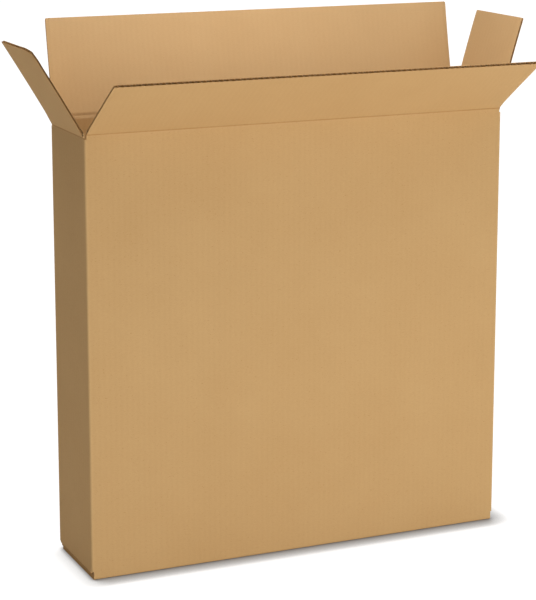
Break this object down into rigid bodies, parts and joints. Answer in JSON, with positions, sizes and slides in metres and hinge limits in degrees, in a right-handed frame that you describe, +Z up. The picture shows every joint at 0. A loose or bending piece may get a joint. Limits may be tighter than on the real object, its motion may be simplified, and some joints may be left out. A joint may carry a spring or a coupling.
{
  "type": "corrugated shipping box",
  "caption": "Tall shallow corrugated shipping box in kraft board, standing with its four full-overlap top flaps open and its bottom glued shut.",
  "frame": {"origin": "on the floor, in the middle of the four walls, on the underside of the outer bottom flap", "axes": "+Z up out of the open top, X along the wide front and back walls, +Y from the front wall to the back wall"},
  "size_m": [0.7259, 0.279, 0.7464],
  "materials": {
    "kraft_board": "uncoated kraft paper, matte"
  },
  "bodies": {
    "box": {"box_body": "kraft_board"},
    "front_flap": {"front_flap": "kraft_board"},
    "back_flap": {"back_flap": "kraft_board"},
    "left_flap": {"left_flap": "kraft_board"},
    "right_flap": {"right_flap": "kraft_board"}
  },
  "joints": [
    {"name": "front_flap_fold", "type": "hinge", "parent": "box", "child": "front_flap", "pos_m": [0, -0.07, 0.61], "axis": [1, 0, 0], "range_deg": [-146, 119]},
    {"name": "back_flap_fold", "type": "hinge", "parent": "box", "child": "back_flap", "pos_m": [0, 0.07, 0.6145], "axis": [-1, 0, 0], "range_deg": [-102, 163]},
    {"name": "left_flap_fold", "type": "hinge", "parent": "box", "child": "left_flap", "pos_m": [-0.31, 0, 0.6055], "axis": [0, -1, 0], "range_deg": [-121, 144]},
    {"name": "right_flap_fold", "type": "hinge", "parent": "box", "child": "right_flap", "pos_m": [0.31, 0, 0.6055], "axis": [0, 1, 0], "range_deg": [-106, 159]}
  ]
}
